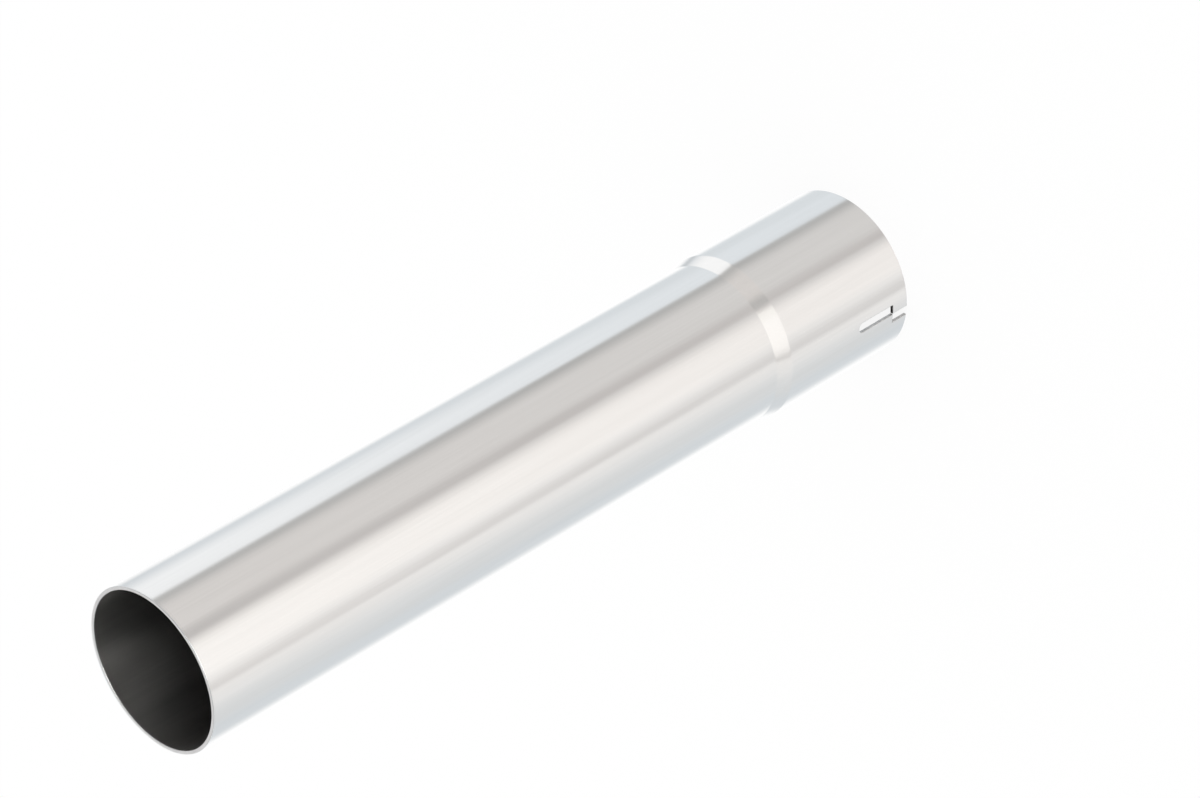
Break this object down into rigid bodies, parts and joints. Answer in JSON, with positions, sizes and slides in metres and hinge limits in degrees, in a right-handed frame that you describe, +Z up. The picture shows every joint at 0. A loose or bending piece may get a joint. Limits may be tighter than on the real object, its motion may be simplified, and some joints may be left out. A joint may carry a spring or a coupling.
{
  "type": "exhaust extension pipe",
  "caption": "Straight thin-walled stainless exhaust pipe with a plain end and a swaged slip-joint bell, cut with stepped slots for a band clamp.",
  "frame": {"origin": "centre of the bell's mouth, in the plane of its rim, on which the pipe stands", "axes": "+Z up the pipe's axis from the bell's mouth to the plain end; -Y towards the front slot, whose long inner run lies on the +X side of its centre line"},
  "size_m": [0.0798, 0.0798, 0.4142],
  "materials": {
    "polished_stainless": "polished thin-wall stainless tube"
  },
  "bodies": {
    "root": {"pipe": "polished_stainless"}
  },
  "joints": []
}
